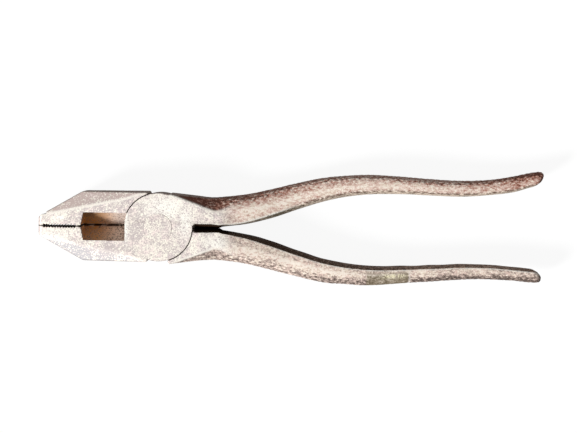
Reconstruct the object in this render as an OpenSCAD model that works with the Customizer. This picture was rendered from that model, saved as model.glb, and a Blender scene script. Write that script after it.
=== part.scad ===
// Linemans pliers: two forged halves that cross in a lap joint, held by one flush rivet.
// The pivot axis is Z. The underside of the joint is at z = 0 and the handles point along +X.
// front_half carries the upper lap disc, the jaw on the -Y side and the handle on the +Y side.
// back_half is the same forging turned over about the X axis.

/* [Joint] */
// Thickness of the joint across both lap discs
joint_t = 16; // [15:0.5:18]
// Radius of each lap disc
disc_r = 15.2; // [14.6:0.1:15.6]
// Clearance round each lap disc
disc_gap = 0.35; // [0.25:0.05:0.5]
// Clearance between the two lap faces
lap_gap = 0.06; // [0.02:0.02:0.2]
// Angle from +X to the end of a jaw's shoulder
jaw_end_angle = 108; // [106:1:112]
// Angle from +X to the start of a handle's root
root_start_angle = 74; // [68:1:75]

/* [Rivet] */
// Radius of the rivet's shank
shank_r = 4.4; // [3.5:0.1:5]
// Radius of the rivet's flush heads
rivet_head_r = 6; // [5.5:0.1:7]
// Depth of each countersunk head
rivet_head_t = 2.2; // [1.5:0.1:3]
// Depth of the head's face under the face of the joint
rivet_inset = 0.05; // [0.02:0.01:0.1]
// Running clearance of the rivet in the front half
rivet_gap = 0.05; // [0.02:0.01:0.09]

/* [Jaws] */
// Distance from the pivot to the nose
jaw_length = 54; // [50:0.5:60]
// Width of one jaw at the joint
jaw_width = 15.6; // [15.5:0.1:17]
// Distance from the pivot to the corner where the nose starts to narrow
jaw_corner = 34.2; // [30:0.5:38]
// Width of one jaw at the nose
nose_width = 3.6; // [2:0.1:5]
// Length and width of the nose's blunted corner
nose_corner = 1; // [0.5:0.1:1.5]
// Bevel along the front edge of the nose
nose_bevel = 1.2; // [0.5:0.1:2]
// Gap between the closed jaws
jaw_gap = 0.1; // [0.06:0.02:0.3]
// Angle by which each face of the jaws falls towards the nose
jaw_taper = 2.2; // [0:0.1:4]
// Width of the jaw's side at the joint that the long side bevel leaves
side_bevel_edge = 0.1; // [0.1:0.1:1]
// Angle between the closing line and the side bevel's upper edge, if the faces didn't fall towards the nose
side_bevel_turn = 16.6; // [12:0.2:19]
// Slope of the side bevel
side_bevel_tilt = 24; // [15:1:35]

/* [Gripping teeth] */
// Distance from the nose to the toothed part
teeth_start = 2.2; // [1:0.1:4]
// Length of the toothed part
teeth_length = 15; // [10:0.5:16]
// Distance from one tooth to the next
tooth_pitch = 1.25; // [0.8:0.05:2]
// Height of a tooth
tooth_height = 0.5; // [0.3:0.05:0.8]
// Depth of the tooth tips under the closing line
tooth_relief = 0.4; // [0.2:0.05:0.6]

/* [Wire cutter] */
// Depth of the flat that the grinding leaves on the edge of each lap disc
disc_flat = 0.2; // [0.1:0.05:0.4]
// Distance from the pivot to the well's corners at the nose end
well_far = 33.6; // [30:0.2:35]
// Length of the point at the well's nose end
well_point = 1.3; // [0.5:0.1:2]
// Half width of the well at the upper face
well_half_w = 6.2; // [5:0.1:7.5]
// Depth of the well's straight sides, under which they slope to the cutting edges
well_wall = 3.6; // [2:0.2:5]
// Half width of the relief at the lower face
relief_half_w = 3.6; // [2.5:0.1:4.5]
// Height of the cutting edges above the lower face
edge_z = 5; // [4:0.1:6]
// Height of the flat land of each cutting edge
edge_land = 0.8; // [0.4:0.1:1.5]
// Length of the open notch between the jaws at the well's point
notch_length = 1.6; // [1.2:0.1:2.4]
// Depth of that notch in each jaw
notch_depth = 0.6; // [0.4:0.1:1.2]

/* [Handle roots] */
// Half width of the slot between the roots at the upper face
slot_half_w = 1.7; // [1.2:0.1:2.2]
// Place of the line where the two roots almost meet
root_line = -0.4; // [-0.6:0.1:0]
// Gap between the two roots along that line
root_gap = 0.2; // [0.1:0.05:0.4]
// Distance from the pivot to the end of that line
root_end = 26.5; // [24:0.5:28]
// Outside of the front half's root beside the joint
front_root_w = 15; // [14.9:0.1:16]
// Outside of the back half's root beside the joint
back_root_w = 16.4; // [15.6:0.1:17]
// How far outside the root's corner the bevel's upper edge starts
root_bevel_edge = 0.2; // [0.1:0.1:0.6]
// Angle between the root bevel's upper edge and the closing line
root_bevel_turn = 20.5; // [16:0.5:24]
// Slope of the root bevel
root_bevel_tilt = 35; // [25:1:40]

/* [Handles] */
// Distance from the pivot to the front handle's end
front_reach = 173.6; // [165:0.2:180]
// How much further the front handle reaches than the back one
reach_step = 0.4; // [0:0.1:4]
// Distance from the pivot to the back handle's end
back_reach = front_reach - reach_step;
// Thickness of a handle along its middle
handle_t = 9.6; // [8:0.2:12]
// Thickness of a handle near its end
tip_t = 8.2; // [6:0.2:9]
// Length of the rounded end of a handle
tip_round = 4; // [3:0.5:6]

/* [Hidden] */
eps = 0.01;
far = 90;
mid_z = joint_t / 2;
steel = [0.72, 0.68, 0.64];
ring_step = 3.4;
// Sideways lean of a handle's rounded end
tip_lean = 0.12;
tip_rings = 5;
tip_angle = 80;
arc_parts = 4;
room_r = disc_r + disc_gap;
well_near = disc_r - disc_flat;
front_edge = root_line + root_gap / 2;
back_edge = -root_line + root_gap / 2;

// Where the root's block ends and the swept handle starts
sweep_start = 17.4;
// Where the roots' inner sides have parted to the handles' full gap
inner_end = root_end + 2;
// Where the slot's sloping side starts to turn into the handle's inner facet
facet_start = root_end - 6;
// Where the root's flat bevel turns into the handle's round outside
round_start = 21;
round_end = 36;
// Last place at which the root bevel is taken as straight
bevel_end = 25;
// Where the thickness has fallen to the handle's, and where it starts to fall to the tip's
thin_end = 66;
tip_thin_start = 110;
// Parts of the handle's width that its inner facet takes at the root and further out, and its round outside
root_facet_share = 0.07;
facet_share = 0.16;
round_share = 0.5;
// Where the facet starts and ends to widen
widen_start = 28;
widen_end = 56;
// Power of the outside's curve: 2 is a quarter of an ellipse, and more keeps the top flat for longer
round_power = 2.6;
// Knee of the inner facet, as parts of its width and of the half thickness
knee_in = 0.3;
knee_up = 0.55;
// Size of the sweep's first ring, which is sunk in the root's block
sunk_scale = 0.85;

// Outside of each handle as [distance from the pivot, distance from the closing line]
front_outer = [
    [14, 14.2], [sweep_start, 13.8], [23, 13.3], [30, 13.9], [40, 15.2], [51, 17.7], [62, 20.5],
    [73, 22.9], [84, 24.2], [97, 24.7], [111, 24], [125, 23], [138, 22.6], [150, 23.5], [160, 25.2],
    [168, 26.9], [180, 28.2]
];
back_outer = [
    [14, 15.4], [sweep_start, 14.9], [24, 14.6], [30, 15.1], [40, 16.6], [51, 19.2], [62, 21.8],
    [73, 24.2], [84, 25.1], [97, 25.3], [111, 24.1], [125, 23.1], [138, 22.1], [150, 21.8], [160, 22.3],
    [168, 22.9], [180, 23.3]
];
// Width of both handles as [distance from the pivot, width], and of each one's end
handle_w = [
    [20, 13.8], [30, 13.5], [40, 13.4], [51, 13.1], [62, 11.9], [73, 10.9], [84, 9.6], [97, 8.7], [111, 7.8],
    [125, 7.4], [138, 7]
];
front_w = concat(handle_w, [[150, 6.9], [160, 7.3], [168, 6.7], [180, 6.2]]);
back_w = concat(handle_w, [[150, 6.5], [168, 6.2], [180, 6.2]]);

// Value of a smooth curve through a list of [x, y] points
function slope_at(pts, i) =
    let (a = max(0, i - 1), b = min(len(pts) - 1, i + 1))
    (pts[b][1] - pts[a][1]) / (pts[b][0] - pts[a][0]);
function piece_at(pts, x, i = 0) = i >= len(pts) - 2 || x < pts[i + 1][0] ? i : piece_at(pts, x, i + 1);
function curve_at(pts, x) =
    let (
        i = piece_at(pts, x),
        w = pts[i + 1][0] - pts[i][0],
        t = min(1, max(0, (x - pts[i][0]) / w))
    )
    pts[i][1] * (1 + 2 * t) * pow(1 - t, 2) + slope_at(pts, i) * w * t * pow(1 - t, 2)
    + pts[i + 1][1] * t * t * (3 - 2 * t) + slope_at(pts, i + 1) * w * t * t * (t - 1);
function inner_at(outer_pts, width_pts, edge, x) =
    mix(edge, curve_at(outer_pts, x) - curve_at(width_pts, x), ease(x, root_end, inner_end));
function ease(x, a, b) = let (t = min(1, max(0, (x - a) / (b - a)))) t * t * (3 - 2 * t);
function mix(a, b, t) = a + (b - a) * t;

// Thickness of a handle, falling from the joint's to the handle's and then to the tip's
function thickness_at(x, reach) =
    let (middle = mix(joint_t, handle_t, ease(x, sweep_start, thin_end)))
    mix(middle, tip_t, ease(x, tip_thin_start, reach));

// Where the root bevel's upper edge lies, for a root of the given width
function bevel_at(root_w, x) =
    root_w + root_bevel_edge - (x - root_w / tan(root_start_angle)) * tan(root_bevel_turn);

// Upper half of a handle's section from its inner ridge to its outer side, as [y, height] pairs.
// The root has a flat bevel on the outside. The handle is rounded there.
function section_top(inner, outer, x, reach, root_w) =
    let (
        h = thickness_at(x, reach) / 2,
        rounded = ease(x, round_start, round_end),
        share = mix(root_facet_share, facet_share, ease(x, widen_start, widen_end)),
        flat_in = mix(slot_half_w - inner, share * (outer - inner), ease(x, facet_start, round_end)),
        bevel_w = outer - bevel_at(root_w, min(x, bevel_end)),
        flat_out = mix(bevel_w, round_share * (outer - inner), rounded),
        drop = flat_out * tan(root_bevel_tilt)
    )
    concat(
        [[inner, 0], [inner + knee_in * flat_in, knee_up * h], [inner + flat_in, h]],
        [for (k = [0 : arc_parts])
            let (
                s = k / arc_parts,
                bevel = [
                    outer - flat_out * (1 - min(1, 2 * s)),
                    s <= 0.5 ? h - 2 * s * drop : (h - drop) * 2 * (1 - s)
                ],
                round = [
                    outer - flat_out * (1 - pow(sin(90 * s), 2 / round_power)),
                    h * pow(cos(90 * s), 2 / round_power)
                ]
            )
            mix(bevel, round, rounded)
        ]
    );
function section(inner, outer, x, reach, root_w) =
    let (top = section_top(inner, outer, x, reach, root_w), n = len(top))
    concat(top, [for (k = [n - 2 : -1 : 1]) [top[k][0], -top[k][1]]]);

// Ring of points round a handle at x, shrunk about its middle by scale
function ring(outer_pts, width_pts, edge, root_w, x, reach, scale) =
    let (
        at = min(x, reach - tip_round),
        outer = curve_at(outer_pts, at),
        inner = inner_at(outer_pts, width_pts, edge, at),
        middle = (inner + outer) / 2
    )
    [for (p = section(inner, outer, at, reach, root_w)) [
        x,
        middle + (x - at) * tip_lean + (p[0] - middle) * scale,
        mid_z + p[1] * scale
    ]];

module sweep(rings) {
    n = len(rings[0]);
    last = len(rings) - 1;
    sides = [for (i = [0 : last - 1], j = [0 : n - 1])
        each [
            [i * n + j, i * n + (j + 1) % n, (i + 1) * n + j],
            [i * n + (j + 1) % n, (i + 1) * n + (j + 1) % n, (i + 1) * n + j]
        ]
    ];
    ends = [[for (j = [n - 1 : -1 : 0]) j], [for (j = [0 : n - 1]) last * n + j]];
    polyhedron(points = [for (r = rings) each r], faces = concat(sides, ends), convexity = 6);
}

// A handle: a shrunk ring inside the root, then the rings of the handle, then those of its rounded end
module handle(outer_pts, width_pts, edge, root_w, reach) {
    straight = reach - tip_round - sweep_start;
    steps = ceil(straight / ring_step);
    body = [for (i = [0 : steps])
        ring(outer_pts, width_pts, edge, root_w, sweep_start + straight * i / steps, reach, 1)
    ];
    tip = [for (i = [1 : tip_rings])
        let (a = tip_angle * i / tip_rings, x = reach - tip_round * (1 - sin(a) / sin(tip_angle)))
        ring(outer_pts, width_pts, edge, root_w, x, reach, cos(a))
    ];
    sunk_ring = ring(outer_pts, width_pts, edge, root_w, (room_r + sweep_start) / 2, reach, sunk_scale);
    sweep(concat([sunk_ring], body, tip));
}

// Repeats a cut on the lower face, mirrored about the middle of the thickness
module both_faces() {
    children();
    translate([0, 0, joint_t]) mirror([0, 0, 1]) children();
}

// Turns a front half over into a back half
module turned_over() {
    translate([0, 0, joint_t]) rotate([180, 0, 0]) children();
}

// A profile in X and Z, cut straight across
module across(points) {
    rotate([90, 0, 0]) linear_extrude(height = far, center = true) polygon(points);
}

// A profile in Y and Z, run along X
module along(points, x0, x1) {
    translate([x0, 0, 0]) rotate([90, 0, 90]) linear_extrude(height = x1 - x0) polygon(points);
}

// Cuts away what lies above a bevel whose upper edge passes through [x, y] at the face
module bevel_cut(x, y, turn, tilt) {
    translate([x, y, joint_t]) rotate([0, 0, turn]) rotate([-tilt, 0, 0])
        translate([-far, 0, 0]) cube([2 * far, far, joint_t]);
}

module jaw_blank() {
    side_x = -jaw_width * tan(jaw_end_angle - 90);
    difference() {
        linear_extrude(height = joint_t)
            polygon([
                [0, -jaw_gap / 2],
                [-jaw_length, -jaw_gap / 2],
                [-jaw_length, -nose_width],
                [-jaw_length + nose_corner, -nose_width - nose_corner],
                [-jaw_corner, -jaw_width],
                [side_x, -jaw_width]
            ]);
        both_faces() {
            across([
                [-disc_r, joint_t],
                [-far, joint_t - (far - disc_r) * tan(jaw_taper)],
                [-far, far],
                [-disc_r, far]
            ]);
            mirror([0, 1, 0])
                bevel_cut(side_x, jaw_width - side_bevel_edge, side_bevel_turn, side_bevel_tilt);
            across([
                [-jaw_length - eps, joint_t - nose_drop() - nose_bevel],
                [-jaw_length + nose_bevel, joint_t - nose_drop()],
                [-jaw_length + nose_bevel, far],
                [-jaw_length - eps, far]
            ]);
        }
        teeth();
    }
}

// How far each face has fallen at the nose
function nose_drop() = (jaw_length - disc_r) * tan(jaw_taper);

// The toothed part of one gripping face, run through the whole thickness
module teeth() {
    count = floor(teeth_length / tooth_pitch);
    start = -jaw_length + teeth_start;
    translate([0, 0, -eps])
        linear_extrude(height = joint_t + 2 * eps)
            polygon(concat(
                [[start, eps]],
                [for (i = [0 : count - 1]) each [
                    [start + i * tooth_pitch, -tooth_relief],
                    [start + (i + 0.5) * tooth_pitch, -tooth_relief - tooth_height]
                ]],
                [[start + count * tooth_pitch, -tooth_relief], [start + count * tooth_pitch, eps]]
            ));
}

module root_blank(outer_pts, edge, root_w) {
    start = root_w / tan(root_start_angle);
    block_end = sweep_start + 0.1;
    sunk = 0.05;
    difference() {
        linear_extrude(height = joint_t)
            polygon([
                [0, 0],
                [start, root_w],
                [block_end, curve_at(outer_pts, block_end) - sunk],
                [block_end, edge + sunk]
            ]);
        both_faces() {
            bevel_cut(start, bevel_at(root_w, start), -root_bevel_turn, root_bevel_tilt);
            along([
                [edge - 1, mid_z],
                [edge, mid_z],
                [slot_half_w, joint_t],
                [slot_half_w, joint_t + 1],
                [edge - 1, joint_t + 1]
            ], disc_r, far);
        }
    }
}

// One half as it is forged, in the front half's position
module blank(outer_pts, width_pts, edge, root_w, reach) {
    difference() {
        union() {
            jaw_blank();
            root_blank(outer_pts, edge, root_w);
            translate([0, 0, mid_z + lap_gap / 2]) cylinder(r = disc_r, h = mid_z - lap_gap / 2, $fn = 128);
        }
        translate([0, 0, -1]) cylinder(r = room_r, h = mid_z + lap_gap / 2 + 1, $fn = 128);
    }
    handle(outer_pts, width_pts, edge, root_w, reach);
}

// The ground well of the wire cutter.
// On the half whose disc lies below, its upper part runs on to the edge of the other disc.
module cutter_well(to_disc) {
    top_edge = edge_z + edge_land / 2;
    low_edge = edge_z - edge_land / 2;
    lift = 3;
    low_half = relief_half_w * (low_edge + lift) / low_edge;
    tip = well_far + well_point;
    run_on = 3;
    spare = 1;
    wide = well_half_w + spare;
    corner = -well_far + spare * well_point / well_half_w;
    intersection() {
        union() {
            translate([0, 0, -lift])
                linear_extrude(height = joint_t + 2 * lift)
                    polygon([[-well_near, -wide], [-well_near, wide], [corner, wide], [-tip, 0], [corner, -wide]]);
            if (to_disc)
                translate([-well_near - spare, -wide, mid_z]) cube([run_on + spare, 2 * wide, mid_z + lift]);
        }
        union() {
            along([
                [-well_half_w, joint_t + lift],
                [-well_half_w, joint_t - well_wall],
                [0, top_edge],
                [well_half_w, joint_t - well_wall],
                [well_half_w, joint_t + lift]
            ], -far, 0);
            along([[-low_half, -lift], [0, low_edge], [low_half, -lift]], -far, 0);
        }
    }
    translate([0, 0, -lift])
        linear_extrude(height = joint_t + 2 * lift)
            polygon([[-tip - notch_length, 0], [-tip + eps, notch_depth], [-tip + eps, -notch_depth]]);
}

// The rivet's outline, with a gap added all round for the bore that runs on it
module rivet_shape(gap, inset) {
    face = inset - (gap > 0 ? 1 : 0);
    rotate_extrude($fn = 96)
        polygon([
            [0, face],
            [rivet_head_r + gap, face],
            [rivet_head_r + gap, inset],
            [shank_r + gap, inset + rivet_head_t],
            [shank_r + gap, joint_t - inset - rivet_head_t],
            [rivet_head_r + gap, joint_t - inset],
            [rivet_head_r + gap, joint_t - face],
            [0, joint_t - face]
        ]);
}

module front_half() {
    color(steel)
        difference() {
            blank(front_outer, front_w, front_edge, front_root_w, front_reach);
            cutter_well(false);
            rivet_shape(rivet_gap, rivet_inset);
        }
}

module back_half() {
    color(0.94 * steel)
        difference() {
            turned_over() blank(back_outer, back_w, back_edge, back_root_w, back_reach);
            cutter_well(true);
            rivet_shape(0, rivet_inset);
        }
}

module joint_rivet() {
    color(0.85 * steel) rivet_shape(0, rivet_inset);
}

front_half();
back_half();
joint_rivet();
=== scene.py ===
import math

import bpy
import numpy as np
from mathutils import Matrix, Vector


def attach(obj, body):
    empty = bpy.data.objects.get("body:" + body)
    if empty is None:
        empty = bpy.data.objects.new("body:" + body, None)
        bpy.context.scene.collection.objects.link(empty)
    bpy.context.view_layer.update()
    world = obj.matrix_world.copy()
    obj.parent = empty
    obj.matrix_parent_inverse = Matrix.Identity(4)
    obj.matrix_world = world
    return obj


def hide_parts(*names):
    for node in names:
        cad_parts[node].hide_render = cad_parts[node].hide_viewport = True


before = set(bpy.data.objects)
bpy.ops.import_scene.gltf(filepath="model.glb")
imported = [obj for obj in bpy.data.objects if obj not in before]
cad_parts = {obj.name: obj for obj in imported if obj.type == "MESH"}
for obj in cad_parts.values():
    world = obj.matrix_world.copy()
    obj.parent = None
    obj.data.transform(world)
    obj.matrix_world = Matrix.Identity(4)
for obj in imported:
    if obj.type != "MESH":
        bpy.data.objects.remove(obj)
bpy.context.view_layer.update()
scene = bpy.context.scene
scene.view_settings.view_transform = "Standard"
MM = 0.001

# The view
# The photograph looks down on the pliers from a little beyond the upper handle, half a metre away,
# so the sides that face the upper handle's way show as thin strips.
CAMERA_PLACE = (58.12 * MM, 41.52 * MM, 526.35 * MM)
CAMERA_TILT = math.radians(4)
CAMERA_ROLL = math.radians(0.9)
FOCAL_LENGTH = 71.62

camera = bpy.data.objects.new("camera", bpy.data.cameras.new("camera"))
camera.data.lens = FOCAL_LENGTH
camera.data.sensor_width = 36
camera.data.clip_start = 0.01
camera.matrix_world = (
    Matrix.Translation(CAMERA_PLACE)
    @ Matrix.Rotation(-CAMERA_TILT, 4, "X")
    @ Matrix.Rotation(CAMERA_ROLL, 4, "Z")
)
scene.collection.objects.link(camera)
scene.camera = camera


# The bench and the light
# The pliers lie on a plain white sheet. One soft lamp stands low on the side of the nose and of the lower
# handle, and white walls all round fill the shadows.
SHEET_REACH = 3.0
SHEET_HEIGHT = -0.05 * MM
SHEET_COLOR = (0.13, 0.13, 0.13, 1)
SHEET_GLOW = 0.91
PURE_WHITE = (1, 1, 1, 1)
LAMP_BEARING = math.radians(211)
LAMP_HEIGHT = math.radians(27.4)
LAMP_STRENGTH = 4.15
LAMP_SPREAD = math.radians(15)
WALL_STRENGTH = 0.26


class Value:
    """A number on a shader socket. Arithmetic on it adds Math nodes and gives the result's socket."""

    def __init__(self, shader, socket):
        self.shader = shader
        self.socket = socket

    def maths(self, operation, *numbers):
        node = self.shader.node("ShaderNodeMath", {"operation": operation}, dict(enumerate(numbers)))
        return Value(self.shader, node.outputs[0])

    def __add__(self, other):
        return self.maths("ADD", self, other)

    def __radd__(self, other):
        return self.maths("ADD", other, self)

    def __sub__(self, other):
        return self.maths("SUBTRACT", self, other)

    def __rsub__(self, other):
        return self.maths("SUBTRACT", other, self)

    def __mul__(self, other):
        return self.maths("MULTIPLY", self, other)

    def __rmul__(self, other):
        return self.maths("MULTIPLY", other, self)

    def __truediv__(self, other):
        return self.maths("DIVIDE", self, other)

    def clamped(self):
        """Held between zero and one."""
        return self.maths("MINIMUM", self.maths("MAXIMUM", self, 0.0), 1.0)

    def between(self, low, high):
        """Zero at low, one at high and in proportion between them."""
        return ((self - low) / (high - low)).clamped()


class Shader:
    """A material's or a world's node tree. Each node is added with its settings first, then its sockets."""

    def __init__(self, owner):
        owner.use_nodes = True
        self.tree = owner.node_tree
        self.tree.nodes.clear()

    def node(self, kind, settings=None, sockets=None):
        node = self.tree.nodes.new(kind)
        for name, setting in (settings or {}).items():
            setattr(node, name, setting)
        for name, value in (sockets or {}).items():
            if isinstance(value, Value):
                self.tree.links.new(value.socket, node.inputs[name])
            else:
                node.inputs[name].default_value = value
        return node

    def value(self, kind, settings=None, sockets=None, output=0):
        return Value(self, self.node(kind, settings, sockets).outputs[output])

    def noise(self, place, size, detail):
        """Cloudy noise around a half, in lumps of a size in millimetres."""
        return self.value("ShaderNodeTexNoise", sockets={
            "Vector": place, "Scale": 1 / (size * MM), "Detail": detail, "Roughness": 0.6,
        })

    def mark(self, key):
        """A number that the mesh carries at each vertex, or zero on a mesh that doesn't carry it."""
        return self.value("ShaderNodeAttribute", {"attribute_name": key}, output="Fac")

    def blend(self, share, a, b):
        """Colour a where share is zero, colour b where it is one."""
        return self.value("ShaderNodeMix", {"data_type": "RGBA"}, {0: share, 6: a, 7: b}, output=2)

    def ramp(self, value, *colors):
        """From the first colour at zero, through the others at even steps, to the last one at one."""
        color = colors[0]
        last = len(colors) - 1
        for number, following in enumerate(colors[1:]):
            color = self.blend(value.between(number / last, (number + 1) / last), color, following)
        return color

    def finish(self, kind, surface):
        self.node(kind, {}, {"Surface": surface})


def seen_directly(shader):
    """One where the camera, a reflection or a refraction looks straight at the surface, else zero."""
    path = shader.node("ShaderNodeLightPath")
    seen = Value(shader, path.outputs["Is Camera Ray"])
    seen = seen + Value(shader, path.outputs["Is Glossy Ray"])
    return (seen + Value(shader, path.outputs["Is Transmission Ray"])).clamped()


walls = bpy.data.worlds.new("white walls")
scene.world = walls
walls_shader = Shader(walls)
wall_light = walls_shader.value("ShaderNodeBackground", sockets={
    "Color": PURE_WHITE,
    "Strength": WALL_STRENGTH + (1 - WALL_STRENGTH) * seen_directly(walls_shader),
})
walls_shader.finish("ShaderNodeOutputWorld", wall_light)

lamp = bpy.data.objects.new("lamp", bpy.data.lights.new("lamp", "SUN"))
lamp.data.energy = LAMP_STRENGTH
lamp.data.angle = LAMP_SPREAD
towards_lamp = Vector((
    math.cos(LAMP_BEARING) * math.cos(LAMP_HEIGHT),
    math.sin(LAMP_BEARING) * math.cos(LAMP_HEIGHT),
    math.sin(LAMP_HEIGHT),
))
lamp.rotation_euler = towards_lamp.to_track_quat("Z", "Y").to_euler()
scene.collection.objects.link(lamp)


def bench_sheet():
    """A square sheet just under the pliers' lower face."""
    mesh = bpy.data.meshes.new("sheet")
    corners = [(-1, -1), (1, -1), (1, 1), (-1, 1)]
    points = [(SHEET_REACH * x, SHEET_REACH * y, SHEET_HEIGHT) for x, y in corners]
    mesh.from_pydata(points, [], [(0, 1, 2, 3)])
    sheet = bpy.data.objects.new("sheet", mesh)
    scene.collection.objects.link(sheet)
    material = bpy.data.materials.new("white_sheet")
    shader = Shader(material)
    matte = shader.value("ShaderNodeBsdfDiffuse", sockets={"Color": SHEET_COLOR})
    glow = shader.value("ShaderNodeEmission", sockets={
        "Color": PURE_WHITE,
        "Strength": SHEET_GLOW * seen_directly(shader),
    })
    shader.finish("ShaderNodeOutputMaterial", shader.value("ShaderNodeAddShader", sockets={0: matte, 1: glow}))
    mesh.materials.append(material)
    return sheet


bench_sheet()


# The back half
# One drop forging of carbon steel: a jaw, a lap disc of half the thickness and a long bowed handle.
# Its working faces are ground, the joint is fitted, and years of use have worn its edges round.
JOINT_THICK = 16.0
DISC_RADIUS = 15.2
DISC_GAP = 0.35
LAP_GAP = 0.06
EDGE_WEAR = 0.45
FINE_WEAR = 0.15


def curve(points, x):
    """Smooth curve through points: between two of them, the cubic that leaves each with the slope of the
    chord from its neighbour before to its neighbour after."""
    px, py = np.array(points, float).T
    order = np.arange(len(px))
    before = np.maximum(order - 1, 0)
    after = np.minimum(order + 1, len(px) - 1)
    slope = (py[after] - py[before]) / (px[after] - px[before])
    i = np.clip(np.searchsorted(px, x, "right") - 1, 0, len(px) - 2)
    wide = px[i + 1] - px[i]
    t = np.clip((x - px[i]) / wide, 0, 1)
    start = py[i] * (1 + 2 * t) * (1 - t) ** 2 + slope[i] * wide * t * (1 - t) ** 2
    return start + py[i + 1] * t * t * (3 - 2 * t) + slope[i + 1] * wide * t * t * (t - 1)


def ease(x, start, end):
    """Zero before start, one after end, and three t squared less two t cubed in between."""
    t = np.clip((x - start) / (end - start), 0, 1)
    return t * t * (3 - 2 * t)


def mix(a, b, share):
    """Number a where share is zero, number b where it is one."""
    return a + (b - a) * share


def worn(radius, *distances):
    """Distance outside all of several faces, where the edge between two of them is worn to a radius: near
    the edge the two distances, each counted from one radius inside, are the legs of a right triangle."""
    result = distances[0]
    for other in distances[1:]:
        legs = np.hypot(np.maximum(result + radius, 0), np.maximum(other + radius, 0))
        result = np.minimum(np.maximum(result, other), -radius) + legs
    return result


def filled(radius, a, b):
    """Distance outside either of two solids, with the corner between them filled to a radius."""
    legs = np.hypot(np.maximum(radius - a, 0), np.maximum(radius - b, 0))
    return np.maximum(np.minimum(a, b), radius) - legs


def beside(x, y, start, end):
    """Distance to the right of the line that runs from start to end."""
    run, rise = end[0] - start[0], end[1] - start[1]
    return ((x - start[0]) * rise - (y - start[1]) * run) / math.hypot(run, rise)


# The jaw, which narrows from its corner to the nose
JAW_LENGTH = 54.0
JAW_WIDTH = 15.6
JAW_GAP = 0.01
JAW_END_ANGLE = math.radians(108)
JAW_END = JAW_WIDTH / math.tan(JAW_END_ANGLE)
JAW_TAPER = math.tan(math.radians(2.2))
JAW_CORNER = 34.2
NOSE_WIDTH = 3.6
NOSE_CORNER = 1.0
NOSE_BEVEL = 1.2
SIDE_BEVEL_EDGE = 0.1
SIDE_BEVEL_TURN = math.radians(16.6)
SIDE_BEVEL_TILT = math.radians(24)
TEETH_START = -51.8
TEETH_LENGTH = 15.0
TEETH_RUN_IN = 0.3
TOOTH_PITCH = 1.25
TOOTH_HEIGHT = 0.5
TOOTH_RELIEF = 0.4
# How far the field grows in one millimetre off a tooth's sloping sides
TOOTH_SLOPE = 0.85


def jaw_faces(x, y, high):
    """Distances outside a jaw's face, which falls towards the nose, and outside its long side bevel."""
    over = high - JOINT_THICK / 2
    face = over + np.maximum(-DISC_RADIUS - x, 0) * JAW_TAPER
    beyond = -y - JAW_WIDTH + SIDE_BEVEL_EDGE
    out = beyond * math.cos(SIDE_BEVEL_TURN) - (x - JAW_END) * math.sin(SIDE_BEVEL_TURN)
    return face, over * math.cos(SIDE_BEVEL_TILT) + out * math.sin(SIDE_BEVEL_TILT)


def jaw(x, y, high, wear):
    """The jaw: five upright sides, two faces that fall towards the nose, a long bevel on each and a short
    one along the nose. Its gripping face is cut by a row of teeth, each a triangle wave deep."""
    nose_side = (-JAW_LENGTH + NOSE_CORNER, -NOSE_WIDTH - NOSE_CORNER)
    sides = worn(
        EDGE_WEAR * wear,
        beside(x, y, (-JAW_LENGTH, 0), (-JAW_LENGTH, -NOSE_WIDTH)),
        beside(x, y, (-JAW_LENGTH, -NOSE_WIDTH), nose_side),
        beside(x, y, nose_side, (-JAW_CORNER, -JAW_WIDTH)),
        -JAW_WIDTH - y,
        beside(x, y, (JAW_END, -JAW_WIDTH), (0, 0)),
    )
    face, bevel = jaw_faces(x, y, high)
    nose_bevel = (face - JAW_LENGTH + NOSE_BEVEL - x) / math.sqrt(2)
    from_start = x - TEETH_START
    wave = np.abs((from_start / TOOTH_PITCH) % 1 * 2 - 1)
    toothed = ease(from_start, 0, TEETH_RUN_IN) * ease(-from_start, -TEETH_LENGTH, TEETH_RUN_IN - TEETH_LENGTH)
    relief = JAW_GAP / 2 + toothed * (TOOTH_RELIEF + TOOTH_HEIGHT * (1 - wave) - JAW_GAP / 2)
    block = worn(EDGE_WEAR * wear, sides, face, bevel, nose_bevel)
    return worn(FINE_WEAR * wear, block, (y + relief) * TOOTH_SLOPE)


# The handle and its root, with places along it counted from the pivot
ROOT_START_ANGLE = math.radians(74)
ROOT_BEVEL_EDGE = 0.2
ROOT_BEVEL_TURN = math.radians(20.5)
ROOT_BEVEL_TILT = math.radians(35)
SWEEP_START = 17.4
BEVEL_END = 25.0
ROOT_END = 26.5
INNER_END = 28.5
ROUND_START = 21.0
ROUND_END = 36.0
FACET_START = ROOT_END - 6
WIDEN_START = 28
WIDEN_END = 56
THIN_END = 66
TIP_THIN_START = 110
HANDLE_THICK = 9.6
TIP_THICK = 8.2
ROOT_FACET_SHARE = 0.07
FACET_SHARE = 0.16
# Knee of the inner facet, as parts of its width and of the half thickness
KNEE_IN = 0.3
KNEE_UP = 0.55
INNER_LAND = 0.5
SLOT_HALF_WIDTH = 1.7
ROUND_POWER = 2.6
# Keeps the middle of the handle, where the round side's slope is zero, from a division by zero
TINY = 0.001
# The worn top: its slope to both sides of the ridge, the ridge's roundness and its place across the handle
CROWN_SLOPE = 0.12
CROWN_ROUND = 0.12
RIDGE_SHARE = 0.42
RIDGE_START = 30
RIDGE_END = 50
TIP_LEAN = math.radians(24)
TIP_SET = 2.2
TIP_WEAR = 3.2
TIP_WEAR_START = 150
TIP_WEAR_END = 165


def handle_sides(half, x):
    """Distances from the closing line to a handle's inner and outer side, and half its thickness."""
    outer = curve(half["outer"], x)
    inner = mix(half["edge"], outer - curve(half["width"], x), ease(x, ROOT_END, INNER_END))
    middle = mix(JOINT_THICK, HANDLE_THICK, ease(x, SWEEP_START, THIN_END))
    return inner, outer, mix(middle, TIP_THICK, ease(x, TIP_THIN_START, half["reach"])) / 2


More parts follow.
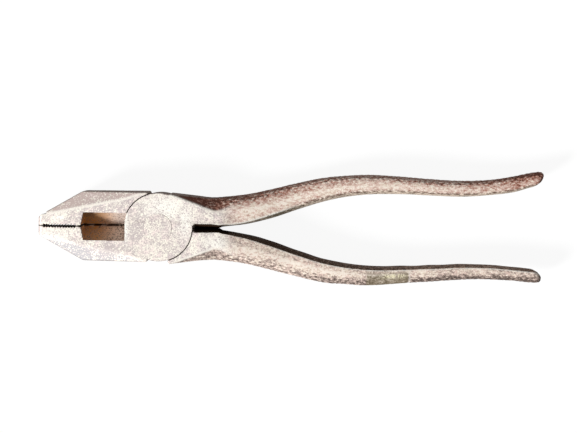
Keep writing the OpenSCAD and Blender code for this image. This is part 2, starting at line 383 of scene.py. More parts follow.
def facet_share(x):
    """Part of the handle's width that its steep inner facet takes."""
    return mix(ROOT_FACET_SHARE, FACET_SHARE, ease(x, WIDEN_START, WIDEN_END))


def ridge_line(half, x):
    """Distance from the closing line to the ridge, where the top of the handle is highest."""
    inner, outer, thick = handle_sides(half, x)
    return mix(inner, outer, mix(half["ridge"], RIDGE_SHARE, ease(x, RIDGE_START, RIDGE_END)))


def past_tip(half, x, y, outer):
    """Distance beyond the leaning plane that ends the handle."""
    return (x - half["reach"]) * math.cos(TIP_LEAN) + (outer - TIP_SET - y) * math.sin(TIP_LEAN)


def handle(half, x, y, high, wear):
    """Distances outside the handle with its root, and outside its top, outer side, inner side and shoulder.

    A section across X has a top that falls gently to both sides of a rounded ridge, and a steep inner side
    with a knee. Its outside is a flat bevel at the root, and turns into a round one. There the place across,
    over the half width, and the height, over the half thickness, each to the power 2.6, add up to one.
    """
    inner, outer, thick = handle_sides(half, x)
    width = outer - inner
    facet = mix(SLOT_HALF_WIDTH - inner, facet_share(x) * width, ease(x, FACET_START, ROUND_END))
    knee = (KNEE_IN * facet, KNEE_UP * thick)
    low = (knee[0] * np.maximum(high - INNER_LAND, 0) - knee[1] * (y - inner)) / np.hypot(*knee)
    rest = (facet - knee[0], thick - knee[1])
    steep = (rest[0] * (high - knee[1]) - rest[1] * (y - inner - knee[0])) / np.hypot(*rest)
    inside = worn(EDGE_WEAR * wear, low, steep)

    start_x = half["root"] / math.tan(ROOT_START_ANGLE)
    fall = (np.minimum(x, BEVEL_END) - start_x) * math.tan(ROOT_BEVEL_TURN)
    down = (y - (half["root"] + ROOT_BEVEL_EDGE - fall)) * math.cos(ROOT_BEVEL_TURN)
    bevel = (high - thick) * math.cos(ROOT_BEVEL_TILT) + down * math.sin(ROOT_BEVEL_TILT)
    angled = worn(EDGE_WEAR * wear, bevel, y - outer)
    across = np.maximum(y - outer + width / 2, 0) / (width / 2)
    size = (across ** ROUND_POWER + (high / thick) ** ROUND_POWER) ** (1 / ROUND_POWER) + TINY
    steepness = np.hypot(across ** (ROUND_POWER - 1) * 2 / width, (high / thick) ** (ROUND_POWER - 1) / thick)
    rounded = (size - 1) * size ** (ROUND_POWER - 1) / (steepness + TINY)
    outside = mix(angled, rounded, ease(x, ROUND_START, ROUND_END))

    shoulder = beside(x, y, (start_x, half["root"]), (0, 0))
    roof = np.hypot(CROWN_SLOPE * (y - ridge_line(half, x)), CROWN_ROUND) - CROWN_ROUND
    top = high - thick + roof * ease(x, ROOT_END, ROUND_END)
    body = worn(EDGE_WEAR * wear, top, outside, inside, shoulder)
    tip_wear = mix(EDGE_WEAR, TIP_WEAR, ease(x, TIP_WEAR_START, TIP_WEAR_END)) * wear
    return worn(tip_wear, body, past_tip(half, x, y, outer)), top, outside, inside, shoulder


# The upper layer of the joint: the disc, the root beside it and the corner between them
ROOT_FILLET = 1.3
FILLET_START = 9
FILLET_END = 14
UPPER_WEAR = 0.6 * EDGE_WEAR
UPPER_END = 20


def forging(half, x, y, z, wear):
    """One half where the front half lies: jaw, lap disc above the middle plane, and handle. The room for the
    other half's disc is cut away below. The corner between disc and slot is filled to a small radius.
    Its edges are as worn as the object's where wear is one, and sharp where it is zero."""
    high = np.abs(z - JOINT_THICK / 2)
    from_pivot = np.hypot(x, y)
    whole_handle, top, outside, inside, shoulder = handle(half, x, y, high, wear)
    room = worn(FINE_WEAR, from_pivot - DISC_RADIUS - DISC_GAP, z - (JOINT_THICK + LAP_GAP) / 2)
    lower = worn(FINE_WEAR * wear, np.minimum(jaw(x, y, high, wear), whole_handle), -room)
    root = worn(EDGE_WEAR * wear, outside, inside, shoulder)
    fillet = ROOT_FILLET * ease(x, FILLET_START, FILLET_END)
    upper = worn(
        UPPER_WEAR * wear,
        filled(fillet, from_pivot - DISC_RADIUS, root),
        np.where(x > DISC_RADIUS, top, z - JOINT_THICK),
        (JOINT_THICK + LAP_GAP) / 2 - z,
        x - UPPER_END,
    )
    return np.minimum(lower, upper)


# The wire cutter's well between the jaws
WELL_FAR = 33.6
WELL_POINT = 1.3
WELL_HALF_WIDTH = 6.2
WELL_WALL = 3.6
WELL_UNDER_DISC = 3
DISC_FLAT = 0.2
RELIEF_HALF_WIDTH = 3.6
CUTTER_HEIGHT = 5.0
CUTTER_LAND = 0.8
NOTCH_LENGTH = 1.6
NOTCH_DEPTH = 0.6
NOTCH_WEB = 1.5
NOTCH_OVERLAP = 0.1


def well(x, y, z, to_disc):
    """Distance inside the cutter's well: a pocket with a pointed end and straight sides that slope, some way
    down, to the cutting edges, a V-shaped relief under them and an open notch at the point. In the back half
    it also runs on to the disc, under the front half's."""
    side = np.abs(y)
    lean = WELL_POINT / WELL_HALF_WIDTH
    tip = -WELL_FAR - WELL_POINT
    end = (tip + lean * side - x) / math.hypot(1, lean)
    near = x + DISC_RADIUS - DISC_FLAT
    if to_disc:
        near = np.minimum(near, worn(0, x + DISC_RADIUS - WELL_UNDER_DISC, JOINT_THICK / 2 - z))
    edge = CUTTER_HEIGHT + CUTTER_LAND / 2
    slope = (JOINT_THICK - WELL_WALL - edge) / WELL_HALF_WIDTH
    above = worn(0, side - WELL_HALF_WIDTH, (edge + slope * side - z) / math.hypot(1, slope))
    edge = CUTTER_HEIGHT - CUTTER_LAND / 2
    slope = edge / RELIEF_HALF_WIDTH
    below = (z - edge + slope * side) / math.hypot(1, slope)
    pocket = worn(0, np.minimum(above, below), near, end)
    notch = worn(
        0,
        side - NOTCH_DEPTH * (x - tip + NOTCH_LENGTH) / NOTCH_LENGTH,
        x - tip - NOTCH_OVERLAP,
        NOTCH_WEB - np.abs(z - CUTTER_HEIGHT),
    )
    return np.minimum(pocket, notch)


# The rivet's bore, in which it is pressed in the back half and runs in the front one
SHANK_RADIUS = 4.4
RIVET_HEAD_RADIUS = 6.0
RIVET_HEAD_THICK = 2.2
PRESSED_GAP = 0.02
RUNNING_GAP = 0.05


def rivet_bore(x, y, z, gap):
    """Distance inside the rivet's bore, which opens towards both faces as a countersink."""
    depth = JOINT_THICK / 2 - np.abs(z - JOINT_THICK / 2)
    flare = np.clip(1 - depth / RIVET_HEAD_THICK, 0, 1)
    return np.hypot(x, y) - SHANK_RADIUS - gap - (RIVET_HEAD_RADIUS - SHANK_RADIUS) * flare


# Width of both handles as [distance from the pivot, width]
HANDLE_WIDTH = [
    (20, 13.8), (30, 13.5), (40, 13.4), (51, 13.1), (62, 11.9), (73, 10.9), (84, 9.6), (97, 8.7),
    (111, 7.8), (125, 7.4), (138, 7),
]
# Each half's own form and wear. The front half's is given here too, because each half takes a painted shade
# where the other one lies close to it.
BACK = {
    # Outside as [distance from the pivot, distance from the closing line]
    "outer": [
        (4.7, 16.4), (17.4, 14.9), (24, 14.6), (30, 15.1), (40, 16.6), (51, 19.2), (62, 21.8), (73, 24.2),
        (84, 25.1), (97, 25.3), (111, 24.1), (125, 23.1), (138, 22.1), (150, 21.8), (160, 22.3),
        (168, 22.9), (180, 23.3),
    ],
    "width": HANDLE_WIDTH + [(150, 6.5), (168, 6.2), (180, 6.2)],
    # Inner side beside the slot, outside of the root beside the joint, and the handle's end
    "edge": 0.405, "root": 16.4, "reach": 173.2,
    # Seed of the unevenness, and place of the top's ridge across the root
    "seed": 3, "ridge": 0.33,
    # Tones from zero for dark to one for bright: along the root, at the outer edge, on the top, and along
    # the inner side between two places
    "root_tone": (0.2, 0.4), "edge_tone": 0.2, "top_tone": 0.66,
    # On this half the inner side's dark tone is partly painted shade
    "inner_tone": (0.05, 0.4), "inner_reach": (50, 130),
    # Tone added along the outer side at the handle's start and end, and lost at its tip
    "start_tone": 0.15, "end_tone": -0.24, "tip_loss": 0.08,
    # Streaks along the handle as (place across it, half width, tone added, end)
    "streaks": [(0.52, 0.17, 0.27, 97), (0.64, 0.06, -0.24, 72)],
    # How much it has of painted shade on its inner side, a dark seam line, bright rims and a painted shadow in
    # the well
    "shade": 1, "seam": 0, "rim": 1, "well_shadow": 1,
    # Start and end of a smooth worn band on the handle
    "band": (93.4, 112.8),
    # How far the mesh's grid reaches below and above the closing line in the view from the top
    "grid": (-27, 17.2),
    # Spots as (middle, reach each way)
    "pale": [((-44, -3.6), (3, 0.8)), ((27, 7), (6, 4))],
    "dull": [((-24, -8), (8, 3)), ((-50.5, -2.6), (1.8, 1))],
}
FRONT = {
    "outer": [
        (4.3, 15), (17.4, 13.8), (23, 13.3), (30, 13.9), (40, 15.2), (51, 17.7), (62, 20.5), (73, 22.9),
        (84, 24.2), (97, 24.7), (111, 24), (125, 23), (138, 22.6), (150, 23.5), (160, 25.2), (168, 26.9),
        (180, 28.2),
    ],
    "width": HANDLE_WIDTH + [(150, 6.9), (160, 7.3), (168, 6.7), (180, 6.2)],
    "edge": -0.395, "root": 15, "reach": 173,
    "seed": 4, "ridge": 0.6,
    "root_tone": (-0.35, 0.1), "edge_tone": 0.42, "top_tone": 0.66,
    "inner_tone": (0.1, 0.55), "inner_reach": (50, 75),
    "start_tone": -0.14, "end_tone": -0.04, "tip_loss": 0.26,
    "streaks": [(0.52, 0.08, 0.2, 97)],
    "shade": 0, "seam": 1, "rim": 0.15, "well_shadow": 0,
    "band": (0, 0),
    "grid": (-17.2, 30),
    "pale": [((-47, -6), (6, 3)), ((3, 9), (9, 5)), ((12, 3), (3, 7)), ((-14.2, 0), (0.7, 7))],
    "dull": [((-22, -10), (9, 3)), ((-8, 1), (5, 8))],
}
# A nick that is worn off the back jaw's corner at the nose: where it ends, its line and its edge's radius
NICK_END = 50.2
NICK_LINE = ((-54, 4.7), (-50, 5.4))
NICK_WEAR = 0.1


def back_half(x, y, z, wear=1):
    """The back half: the forging turned over about the X axis, with the well and the bore cut from it."""
    solid = forging(BACK, x, -y, JOINT_THICK - z, wear)
    nick = worn(0, x + NICK_END, beside(x, y, *NICK_LINE))
    solid = worn(NICK_WEAR * wear, solid, -nick)
    return worn(FINE_WEAR * wear, solid, -well(x, y, z, True), -rivet_bore(x, y, z, PRESSED_GAP))


def front_half(x, y, z, wear=1):
    """The front half: the forging as it lies, with the well and the bore cut from it."""
    solid = forging(FRONT, x, y, z, wear)
    return worn(FINE_WEAR * wear, solid, -well(x, y, z, False), -rivet_bore(x, y, z, RUNNING_GAP))


# The mesh on a half's surface. A vertex is pulled to the middle of its crossings with a small weight, and
# goes no further from it than a part of the cell. The grid starts beyond the nose, and its room is what it
# leaves at the handle's end, above and below.
CELL = 0.36
MIDDLE_WEIGHT = 0.12
LONGEST_SHIFT = 0.8 * CELL
SLOPE_STEP = 0.03
GRID_START = -56
END_ROOM = 1.2
FACE_ROOM = 0.9


def level_surface(field, low, high):
    """The closed surface on which field(x, y, z) is zero, as vertices and faces.

    The field is sampled at the corners of a grid of cells. Where it changes sign along an edge of the grid,
    the crossing is found by proportion, and the field's slope there gives the plane that touches the
    surface. Each cell that the surface passes through gets one vertex: the point nearest to the planes of
    all its crossings, held near their mean. Each crossed edge gets one face, which joins the four cells
    round that edge.
    """
    lines = [np.arange(a, b + CELL, CELL) for a, b in zip(low, high)]
    value = field(lines[0][:, None, None], lines[1][None, :, None], lines[2][None, None, :])
    cells = np.array(value.shape)
    points, faces = [], []
    for axis in range(3):
        ahead = np.roll(np.eye(3, dtype=int)[0], axis)
        first = value[tuple(slice(0, n - step) for n, step in zip(cells, ahead))]
        second = value[tuple(slice(step, n) for n, step in zip(cells, ahead))]
        corner = np.stack(np.nonzero((first < 0) != (second < 0)), 1)
        a, b = first[tuple(corner.T)], second[tuple(corner.T)]
        points.append(np.array(low) + CELL * (corner + (a / (a - b))[:, None] * ahead))
        right, up = np.roll(ahead, 1), np.roll(ahead, 2)
        round_edge = np.stack([corner - right - up, corner - up, corner, corner - right], 1)
        index = (round_edge[..., 0] * cells[1] + round_edge[..., 1]) * cells[2] + round_edge[..., 2]
        faces.append(np.where((a < 0)[:, None], index, index[:, ::-1]))
    points, faces = np.concatenate(points), np.concatenate(faces)
    normals = slope_of(field, points)
    used, faces = np.unique(faces, return_inverse=True)
    faces = faces.reshape(-1, 4)
    owner, count = faces.ravel(), np.bincount(faces.ravel())

    def gather(numbers):
        """Sum of each crossing's number over the crossings of each cell."""
        return np.bincount(owner, np.repeat(numbers, 4), len(used))

    mean = np.stack([gather(points[:, i]) for i in range(3)], 1) / count[:, None]
    offset = (normals[:, None] * (points[:, None] - mean[faces])).sum(2)
    pull = np.stack([np.bincount(owner, (offset * normals[:, i, None]).ravel()) for i in range(3)], 1)
    push = np.array([[gather(normals[:, i] * normals[:, j]) for j in range(3)] for i in range(3)])
    push = push.transpose(2, 0, 1) + MIDDLE_WEIGHT * count[:, None, None] * np.eye(3)
    shift = np.linalg.solve(push, pull[..., None])[..., 0]
    shift *= np.minimum(1, LONGEST_SHIFT / (np.linalg.norm(shift, axis=1) + 1e-9))[:, None]
    return mean + shift, faces


def slope_of(field, points):
    """Direction in which the field grows fastest, from its differences over a short step each way."""
    slope = np.stack([
        field(*(points + SLOPE_STEP * axis).T) - field(*(points - SLOPE_STEP * axis).T) for axis in np.eye(3)
    ], 1)
    return slope / (np.linalg.norm(slope, axis=1, keepdims=True) + 1e-9)


# The forging's uneven skin, and the pebbled knurl on the handle
SWELL_WAVES = 7
SWELL_LENGTH = 11
SWELL_ON_HEAD = 0.02
SWELL_ON_HANDLE = 0.07
KNURL_LENGTH = 2.5
KNURL_PITCH = 1.25
KNURL_DEPTH = 0.34
KNURL_ZERO = 0.8
PEBBLE_BED = 64
PEBBLE_SCATTER = 0.24
PEBBLE_RADII = (0.42, 0.68)


def swell(points, size, seed):
    """Uneven swelling between about minus one and one: the mean of several sine waves of about one length,
    each in its own direction."""
    draw = np.random.default_rng(seed)
    direction = draw.normal(size=(SWELL_WAVES, 3))
    direction /= np.linalg.norm(direction, axis=1, keepdims=True)
    length = size * draw.uniform(0.7, 1.4, SWELL_WAVES)
    phase = draw.uniform(0, 2 * math.pi, SWELL_WAVES)
    waves = np.sin(2 * math.pi * (points @ direction.T) / length + phase)
    return waves.mean(1) * 1.7


def pebbles(along, across, seed):
    """Height of a bed of pebbles, one in each unit square of a staggered grid and set off its middle by
    chance: one less the square of the distance from the nearest over the square of its radius."""
    draw = np.random.default_rng(seed)
    offset = draw.uniform(-PEBBLE_SCATTER, PEBBLE_SCATTER, (PEBBLE_BED, PEBBLE_BED, 2))
    radius = draw.uniform(*PEBBLE_RADII, (PEBBLE_BED, PEBBLE_BED))
    best = np.zeros_like(along)
    row = np.floor(across).astype(int)
    for row_step in (-1, 0, 1):
        row_near = row + row_step
        staggered = along + 0.5 * (row_near % 2)
        column = np.floor(staggered).astype(int)
        for column_step in (-1, 0, 1):
            square = (row_near % PEBBLE_BED, (column + column_step) % PEBBLE_BED)
            off_along = staggered - column - column_step - 0.5 - offset[square][..., 0]
            off_across = across - row_near - 0.5 - offset[square][..., 1]
            best = np.maximum(best, 1 - (off_along ** 2 + off_across ** 2) / radius[square] ** 2)
    return best


def knurl(half, x, y, z):
    """Height and strength of the knurl on a handle's outside. Its pebbles lie in rows along the handle and
    round its outer side, and are twice as long as they are wide. Swells bend the rows and rub it away."""
    inner, outer, thick = handle_sides(half, x)
    width = outer - inner
    turn = np.arctan2(np.maximum(y - outer + width / 2, 0) / (width / 2), (z - JOINT_THICK / 2) / thick)
    round_side = turn * (width / 2 + thick) / 2
    flat = np.stack([x, round_side, np.zeros_like(x)], 1)
    row = round_side / KNURL_PITCH + 0.3 * swell(flat, size=9, seed=6)
    column = x / KNURL_LENGTH + 0.25 * swell(flat, size=7, seed=8)
    strength = ease(np.sin(turn), mix(0.2, -0.2, ease(x, 110, 160)), 0.7) * ease(x, 14, 34)
    rubbed = np.clip(0.8 + 0.35 * swell(flat, size=5, seed=7), 0, 1)
    return pebbles(column, row, half["seed"]), strength * rubbed


# The finishes, with the painted shade, shadow and highlight among them. In all that follows, share is the
# place
# # across a handle: zero at its outer side, one at its inner side. Outward and upward are the parts of a
# surface's
# # direction that point that way.
HANDLE_START = 26
HANDLE_FULL = 38
WELL_BRIM = 1.2
WELL_BRIM_FALL = 0.04
BAND_SMOOTH = 0.85
PAINTED_SHADE_REACH = 0.9
LOST_DEPTH = 0.4 * EDGE_WEAR
RIDGE_REACH = 0.55


def spot(x, y, middle, reach):
    """One at a place, falling to nothing round it as a bell curve of a given reach each way."""
    return np.exp(-((x - middle[0]) / reach[0]) ** 2 - ((y - middle[1]) / reach[1]) ** 2)


def line(distance, middle, reach):
    """One along a line, falling to nothing beside it as a bell curve of a given reach."""
    return spot(distance, 0, (middle, 0), (reach, 1))


def spots(x, y, places):
    """One at each of several places, falling to nothing round them."""
    return np.maximum.reduce([spot(x, y, *place) for place in places])


def well_inside(x, y, z, upward):
    """The well's walls, from a little under its brim down."""
    pocket = (np.abs(y) < WELL_HALF_WIDTH + 0.05) * (x > -WELL_FAR - 1.4) * (x < -DISC_RADIUS + 0.3)
    brim = JOINT_THICK - WELL_BRIM - WELL_BRIM_FALL * (-x - 15)
    return pocket * (z < brim) * (np.abs(upward) < 0.97)


def upright_sides(x, y, upward, inner):
    """The head's upright sides and, except beside the well, the rounded edges above them, which are given a
    painted shade with rust. Both are less at the nose."""
    upright = ease(-np.abs(upward), -0.6, -0.3) * (1 - inner) * (1 - ease(x, HANDLE_START, HANDLE_FULL))
    beside_well = (np.abs(y) < WELL_HALF_WIDTH + 0.8) * (x > -WELL_FAR - 2.4)
    rounded_edge = ease(-np.abs(upward), -0.86, -0.55) * np.maximum(ease(-x, 15, 17), ease(-y, 10, 12))
    upright = np.maximum(upright, 0.9 * rounded_edge * ease(np.abs(y), 0.6, 1) * (1 - beside_well))
    return upright * mix(1, 0.3, ease(-x, 53.3, 53.8))


def bright_rims(half, x, y, high, inner):
    """Edges rubbed bright: along the jaw's bevel, the root's bevel, the inner facet and the band's end."""
    face, bevel = jaw_faces(x, y, high)
    top, outside, inside = handle(half, x, y, high, 1)[1:4]
    jaw_rim = half["rim"] * line(face - bevel, 0, 0.22) * ease(-x, 5, 8) * (face > -0.4)
    root_rim = line(top - outside, 0, 0.3) * ease(x, 3, 6) * ease(-x, -30, -22)
    facet_rim = line(top - inside, 0.1, 0.35) * ease(x, 17, 20) * mix(1, ease(-x, -66, -50), half["seam"])
    band_end = half["band"][1]
    band_rim = 0.5 * (band_end > 0) * line(x, band_end + 0.3, 0.35)
    return np.maximum.reduce([jaw_rim, root_rim, facet_rim, band_rim * (1 - inner)])


def steel_tone(half, x, share, inner):
    """How bright the handle is: zero is dark and one is bright. The root, the outer edge, the top and the
    inner side each have their own tone, and streaks run along the handle."""
    tone = mix(half["edge_tone"], half["top_tone"], ease(share, -0.05, 0.6))
    tone += half["start_tone"] * ease(-x, -80, -50) * ease(-share, -0.5, -0.2)
    tone += half["end_tone"] * ease(x, 112, 116) * mix(1, 0.3, ease(x, 140, 160)) * ease(-share, -0.45, -0.2)
    for middle, width, strength, end in half["streaks"]:
        tone += strength * np.exp(-((share - middle) / width) ** 2) * ease(-x, -end, 12 - end)
    tone -= 0.1 * ease(x, 135, 165) * ease(-share, -0.6, -0.3) + half["tip_loss"] * ease(x, 135, 170)
    tone = mix(mix(*half["root_tone"], ease(x, 4, 26)), tone, ease(x, HANDLE_START, HANDLE_FULL))
    return mix(tone, mix(*half["inner_tone"], ease(x, *half["inner_reach"])), inner)


def wear_marks(half, x, y, z, outward, upward):
    """How far each finish, and each painted shade and shadow, covers the surface: zero for none, one for all.
    Distances are those of a front half, so a back half's are given turned over."""
    inner_side, outer_side, thick = handle_sides(half, x)
    share = (outer_side - y) / (outer_side - inner_side)
    on_handle = ease(x, HANDLE_START, HANDLE_FULL)
    root_bevel = ease(outward, 0.12, 0.45) * ease(x, 2, 5)
    jaw_bevel = ease(-outward, 0.2, 0.36) * ease(-x, 3, 5)
    inner = ease(-outward, 0.2, 0.5) * ease(x, 15.7, 16.4)
    crease = 1 - facet_share(x)
    inner_facet = ease(share, crease - 0.03, crease + 0.03) * ease(x, 24, 30)
    pocket = well_inside(x, y, z, upward)
    upright = upright_sides(x, y, upward, inner)
    band_start, band_end = half["band"]
    band = ease(x, band_start, band_start + 0.6) * ease(-x, -band_end, 0.6 - band_end) * (1 - inner)
    band = band * mix(1, 0.4, ease(share, 0.55, 0.75))
    tip_end = ease(past_tip(half, x, y, outer_side), -1.9, -0.7)
    rims = bright_rims(half, x, y, np.abs(z - JOINT_THICK / 2), inner)
    return {
        "handle": np.maximum(on_handle, root_bevel),
        "tone": steel_tone(half, x, share, inner) - 0.12 * band - 0.5 * tip_end,
        "inner": inner,
        # Painted shade in the slot between the handle roots
        "slot": inner * ease(-x, -34, -28),
        "shade": half["shade"] * np.maximum(inner, inner_facet),
        "gloom": mix(0.45, 0.05, ease(x, 55, 80)),
        "seam": half["seam"] * line(share, 0.82, 0.05) * mix(0.2, 0.9, ease(x, 55, 68)),
        # Painted shade along the line where the two cutting edges meet
        "edge": pocket * ease(-np.abs(y), -0.8, -0.2) * (z > CUTTER_HEIGHT),
        "nose": ease(-x, JAW_LENGTH - 1.1, JAW_LENGTH - 0.5),
        "rim": rims * (1 - pocket),
        "stripe": line(share, 0.5, 0.13) * ease(x, 97, 103),
        # Painted shade with rust on the upright sides
        "upright": upright,
        "band": band,
        "bevel": jaw_bevel,
        "pocket": pocket,
        "rust": pocket * ease(-x, 16, 31),
        # A painted shadow on part of the back half's well wall
        "well_shadow": half["well_shadow"] * pocket * ease(-y, 2, 5.5) * ease(-x, 21, 28),
        "pale": spots(x, y, half["pale"]) * (1 - pocket) * (1 - 0.8 * jaw_bevel),
        "dull": spots(x, y, half["dull"]) * (1 - pocket),
        "bare": (1 - inner) * (1 - upright) * (1 - root_bevel) * (1 - pocket) * (1 - 0.7 * on_handle),
    }


def worn_edges_and_ridge_highlight(half, field, x, y, z, upward, marks):
    """Where an edge is worn down to bright steel, by how far the surface lies inside the unworn form on the
    head, and a painted highlight in a thin line along the handle top's ridge. Distances are those of a front
    half."""
    worn_and_highlit = np.clip(-field / LOST_DEPTH, 0, 1) * ease(np.hypot(x, y), 6.4, 7)
    worn_and_highlit = worn_and_highlit * (1 - marks["slot"]) * (1 - ease(x, HANDLE_START, HANDLE_FULL))
    worn_and_highlit = worn_and_highlit * mix(1, half["rim"], ease(-x, 12, 16))
    # A painted highlight along the top's ridge
    ridge = np.exp(-((y - ridge_line(half, x)) / RIDGE_REACH) ** 2) * ease(np.abs(upward), 0.8, 0.95)
    return np.maximum(worn_and_highlit, 0.5 * ridge * ease(x, 26, 34) * ease(-x, -130, -90))


def forged_piece(name, half, field, mate, turned):
    """A half's mesh: the level surface of its field, roughened by the forging's swells and by the knurl.
    Its attributes hold the wear of its edges with a painted highlight along the ridge, how near the other half
    is for painted shade, the knurl and the finishes."""
    below, above = half["grid"]
    low = (GRID_START, below, -FACE_ROOM)
    high = (half["reach"] + END_ROOM, above, JOINT_THICK + FACE_ROOM)
    points, faces = level_surface(field, low, high)
    normals = slope_of(field, points)
    x, y, z = points.T
    sense = -1 if turned else 1
    marks = wear_marks(half, x, sense * y, z, sense * normals[:, 1], normals[:, 2])
    # How near the other half is, drawn as painted shade
    near = np.clip(1 - mate(x, y, z) / PAINTED_SHADE_REACH, 0, 1)
    pebble, strength = knurl(half, x, sense * y, z)
    strength = strength * (1 - BAND_SMOOTH * marks["band"])
    marks["worn_and_highlit"] = worn_edges_and_ridge_highlight(half, field(x, y, z, 0), x, sense * y, z, normals[:, 2], marks)
    marks["near"] = near
    marks["pebble"] = pebble
    marks["knurl"] = strength
    unevenness = SWELL_ON_HEAD + SWELL_ON_HANDLE * ease(x, 20, 50)
    rise = KNURL_DEPTH * strength * (pebble - KNURL_ZERO)
    rise = rise + unevenness * swell(points, SWELL_LENGTH, half["seed"])
    points = points + normals * (rise * (1 - near))[:, None]
    return marked(shaped(name, points * MM, faces.tolist()), marks)


def shaped(name, points, faces):
    """A smooth-shaded mesh object from points in metres and faces."""
    mesh = bpy.data.meshes.new(name)
    mesh.from_pydata(points, [], faces)
    mesh.shade_smooth()
    mesh.set_sharp_from_angle(angle=math.radians(38))
    piece = bpy.data.objects.new(name, mesh)
    scene.collection.objects.link(piece)
    return piece


def marked(piece, marks):
    """The piece with each mark as an attribute of its vertices."""
    for key, numbers in marks.items():
        attribute = piece.data.attributes.new(key, "FLOAT", "POINT")
        attribute.data.foreach_set("value", numbers.astype(np.float32))
    return piece


# Colours of bare steel, from ground and rubbed to rusty, and of painted shade and shadow
WHITE = (1.0, 0.975, 0.90, 1)
CREAM = (1.0, 0.955, 0.84, 1)
BRIGHT = (1.0, 0.90, 0.79, 1)
PINKISH = (0.95, 0.83, 0.78, 1)
BEIGE = (0.84, 0.71, 0.58, 1)
ROSY = (0.84, 0.63, 0.54, 1)
LILAC = (0.58, 0.51, 0.50, 1)
STRAW = (0.88, 0.81, 0.56, 1)
UMBER = (0.33, 0.24, 0.20, 1)
ORANGE = (0.66, 0.30, 0.08, 1)
WELL_SHADOW_BROWN = (0.27, 0.15, 0.075, 1)
DARK_BROWN = (0.10, 0.05, 0.035, 1)
BLACK = (0.026, 0.014, 0.008, 1)
BAND_SHADES = ((0.13, 0.10, 0.06, 1), (0.28, 0.225, 0.16, 1), (0.47, 0.40, 0.32, 1), (0.78, 0.69, 0.58, 1))


def forged_steel(name, shades, hollow, bevel, dust):
    """Bare forged steel, rubbed pale on its faces: a mottled pinkish grey, brown in the hollows of the knurl,
    and brightest where the edges are worn, with a painted highlight along the handle's ridge. Painted shade
    darkens it beside the other half, in the slot, on the upright sides and on the back half's inner side.
    Shades are the handle's dark colours, hollow its inner side's, bevel the jaw's sloping side's, and dust
    that of the well's walls."""
    material = bpy.data.materials.new(name)
    shader = Shader(material)
    mark, blend, ramp = shader.mark, shader.blend, shader.ramp
    place = shader.value("ShaderNodeTexCoord", output="Object")
    stretched = shader.value("ShaderNodeVectorMath", {"operation": "MULTIPLY"}, {0: place, 1: (0.55, 1, 1)})
    patches = shader.noise(place, size=9, detail=3)
    mottle = shader.noise(place, size=1.7, detail=2)
    fine = shader.noise(place, size=0.62, detail=1)
    hue = shader.noise(place, size=3, detail=2)
    stroke = shader.noise(stretched, size=0.9, detail=2)
    light = 0.5 * fine + 0.25 * mottle + 0.25 * patches

    # The ground head
    head = blend(light.between(0.41, 0.57), LILAC, blend(hue.between(0.46, 0.64), CREAM, PINKISH))
    head = blend(mark("bevel") * light.between(0.56, 0.485), head, bevel)
    head = blend(mark("dull") * light.between(0.6, 0.48), head, LILAC)
    head = blend(mark("pale") * light.between(0.38, 0.5), head, WHITE)
    head = blend(mark("nose") * 0.5, head, LILAC)

    # The handle, where the knurl's pebbles are rubbed brighter than the hollows between them
    polish = mark("tone") + 2.7 * (0.6 * stroke + 0.2 * mottle + 0.2 * patches - 0.5)
    polish = polish + 0.5 * mark("knurl") * (mark("pebble") - 0.5) + 0.35 * fine.between(0.56, 0.64)
    grip = ramp(polish, *shades, blend(hue.between(0.4, 0.6), BEIGE, ROSY), BRIGHT)
    color = blend(mark("handle"), head, grip)
    banded = ramp(polish, *BAND_SHADES)
    banded = blend(mark("stripe") * light.between(0.42, 0.56), banded, STRAW)
    color = blend(mark("band"), color, banded)

    # Painted shade with rust on the upright sides; rust and dust in the well, with a painted shadow on part of
    # its
    #     # wall and painted shade along the cutting edges; and the handles' inner sides, in painted shade on
    #     the back
    #     # half, with a dark seam line on the front one
    color = blend(mark("upright") * 0.9, color, blend(light.between(0.42, 0.6), DARK_BROWN, UMBER))
    color = blend(mark("pocket") * 0.95, color, blend(light.between(0.37, 0.57), UMBER, dust))
    color = blend(mark("rust") * light.between(0.34, 0.54), color, ORANGE)
    # A painted shadow over part of the back half's well wall
    color = blend(mark("well_shadow") * 0.75, color, WELL_SHADOW_BROWN)
    color = blend(mark("pocket") * (0.6 * fine + 0.4 * mottle).between(0.47, 0.36) * 0.6, color, DARK_BROWN)
    # Painted shade along the line where the two cutting edges meet
    color = blend(mark("edge") * 0.9, color, blend(hue.between(0.5, 0.56), BLACK, dust))
    shade = (mark("shade") * (0.2 + 1.6 * stroke)).between(0.35, 0.65)
    color = blend((mark("inner") + shade).clamped(), color, ramp(1.8 * polish - 0.35, *hollow))
    color = blend(mark("seam") * stroke.between(0.62, 0.46), color, DARK_BROWN)

    # Edges rubbed bright and a painted highlight along the handle's ridge, then painted shade where the other
    # half lies
    # # close, in the slot and on the back half's inner side
    worn_and_highlit = mark("worn_and_highlit")
    color = blend(mark("rim") * light.between(0.32, 0.46) * (0.9 - 0.9 * shade), color, WHITE)
    color = blend(worn_and_highlit.between(0.15, 0.9) * 0.7, color, BRIGHT)
    bump = shader.value("ShaderNodeBump", sockets={
        "Strength": 0.5, "Distance": 0.055 * MM, "Height": fine + mottle,
    })
    steel = shader.value("ShaderNodeBsdfPrincipled", sockets={
        "Base Color": color,
        "Metallic": 0.35 * mark("bare"),
        "Roughness": (0.55 + 0.3 * mottle - 0.1 * worn_and_highlit).clamped(),
        "Specular IOR Level": 0.25,
        "Normal": bump,
    })
    # Painted shade: a black matte mixed in where the other half lies close, in the slot and on the back half's
    # inner side
    painted_shade = shader.value("ShaderNodeBsdfDiffuse", sockets={"Color": BLACK})
    hidden = (mark("near").between(0.4, 0.95) + mark("slot") + shade * mark("gloom")).clamped() * 0.97
    surface = shader.value("ShaderNodeMixShader", sockets={0: hidden, 1: steel, 2: painted_shade})
    shader.finish("ShaderNodeOutputMaterial", surface)
    return material


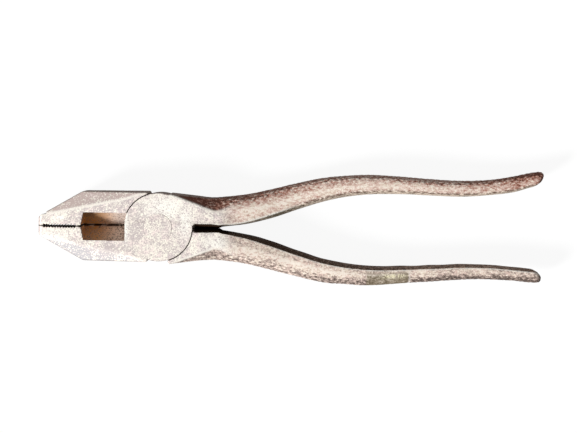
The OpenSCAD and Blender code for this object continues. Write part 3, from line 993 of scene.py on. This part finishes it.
back = forged_piece("back_forging", BACK, back_half, front_half, True)
back.data.materials.append(forged_steel(
    "back_steel",
    shades=((0.09, 0.065, 0.055, 1), (0.26, 0.195, 0.165, 1), (0.52, 0.41, 0.36, 1)),
    hollow=((0.07, 0.035, 0.02, 1), (0.70, 0.50, 0.40, 1)),
    bevel=(0.68, 0.55, 0.51, 1),
    dust=(0.62, 0.53, 0.47, 1),
))
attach(back, "lower_handle_side")
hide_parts("back_half")


# The front half
# The same forging as the back half, laid on it the other way up, so that its disc is the one in sight.
# Its handle is redder, and darker towards its end.
FRONT_COLORS = {
    "shades": ((0.13, 0.045, 0.028, 1), (0.42, 0.19, 0.135, 1), (0.64, 0.45, 0.38, 1)),
    "hollow": ((0.08, 0.06, 0.035, 1), (0.72, 0.59, 0.48, 1)),
    "bevel": (0.50, 0.485, 0.50, 1),
    "dust": (1.0, 0.84, 0.72, 1),
}
front = forged_piece("front_forging", FRONT, front_half, back_half, False)
front.data.materials.append(forged_steel("front_steel", **FRONT_COLORS))
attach(front, "upper_handle_side")
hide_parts("front_half")


# The joint rivet
# A steel rivet through both discs, pressed in the back one. Its heads fill their countersinks and are
# # ground flush with the joint's faces, so that only a faint dark ring of painted shade shows round one side
# of a head.
RIVET_LIP = 0.04
RIVET_SEGMENTS = 128
RING_BEARING = 0.4
RING_NEAR = 0.9


def turned_rivet():
    """The rivet's outline carried round the Z axis: point k of the outline at angle t lies at its radius
    times the cosine and sine of t, and at its height. A point on the axis closes each end."""
    head, lip = RIVET_HEAD_RADIUS, RIVET_LIP
    lower = [
        (2, -lip), (4, -lip), (head - 0.1, -lip), (head + 0.1, -lip), (head + 0.2, -0.6 * lip),
        (head + 0.2, 0.01), (head - 0.15, 0.01), (SHANK_RADIUS - 0.02, RIVET_HEAD_THICK),
    ]
    outline = np.array(lower + [(radius, JOINT_THICK - height) for radius, height in lower[::-1]])
    angle = np.linspace(0, 2 * math.pi, RIVET_SEGMENTS, endpoint=False)[None]
    radius, height = outline[:, :1], outline[:, 1:]
    points = np.stack([radius * np.cos(angle), radius * np.sin(angle), height + 0 * angle], 2).reshape(-1, 3)
    points = np.concatenate([points, [(0, 0, -lip), (0, 0, JOINT_THICK + lip)]])
    here = np.arange(RIVET_SEGMENTS)
    there = (here + 1) % RIVET_SEGMENTS
    rows = np.arange(len(outline) - 1)[:, None] * RIVET_SEGMENTS
    sides = [rows + here, rows + there, rows + RIVET_SEGMENTS + there, rows + RIVET_SEGMENTS + here]
    last = (len(outline) - 1) * RIVET_SEGMENTS
    below, above = len(points) - 2 + 0 * here, len(points) - 1 + 0 * here
    faces = np.stack(sides, 2).reshape(-1, 4).tolist()
    faces += np.stack([there, here, below], 1).tolist()
    faces += np.stack([last + here, last + there, above], 1).tolist()
    return points, faces


def head_ring(points):
    """How close the countersink's wall seems, drawn as painted shade in the gap round the head: most on one
    bearing, and none opposite."""
    from_axis, bearing = np.hypot(*points.T[:2]), np.arctan2(*points.T[1::-1])
    ring = ease(from_axis, RIVET_HEAD_RADIUS, RIVET_HEAD_RADIUS + 0.1)
    return RING_NEAR * ring * ease(np.cos(bearing - RING_BEARING), 0, 1)


rivet_points, rivet_faces = turned_rivet()
rivet = shaped("pressed_rivet", rivet_points * MM, rivet_faces)
marked(rivet, {"bare": np.ones(len(rivet_points)), "near": head_ring(rivet_points)})
rivet.data.materials.append(forged_steel("rivet_steel_worn", **FRONT_COLORS))
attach(rivet, "lower_handle_side")
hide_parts("joint_rivet")
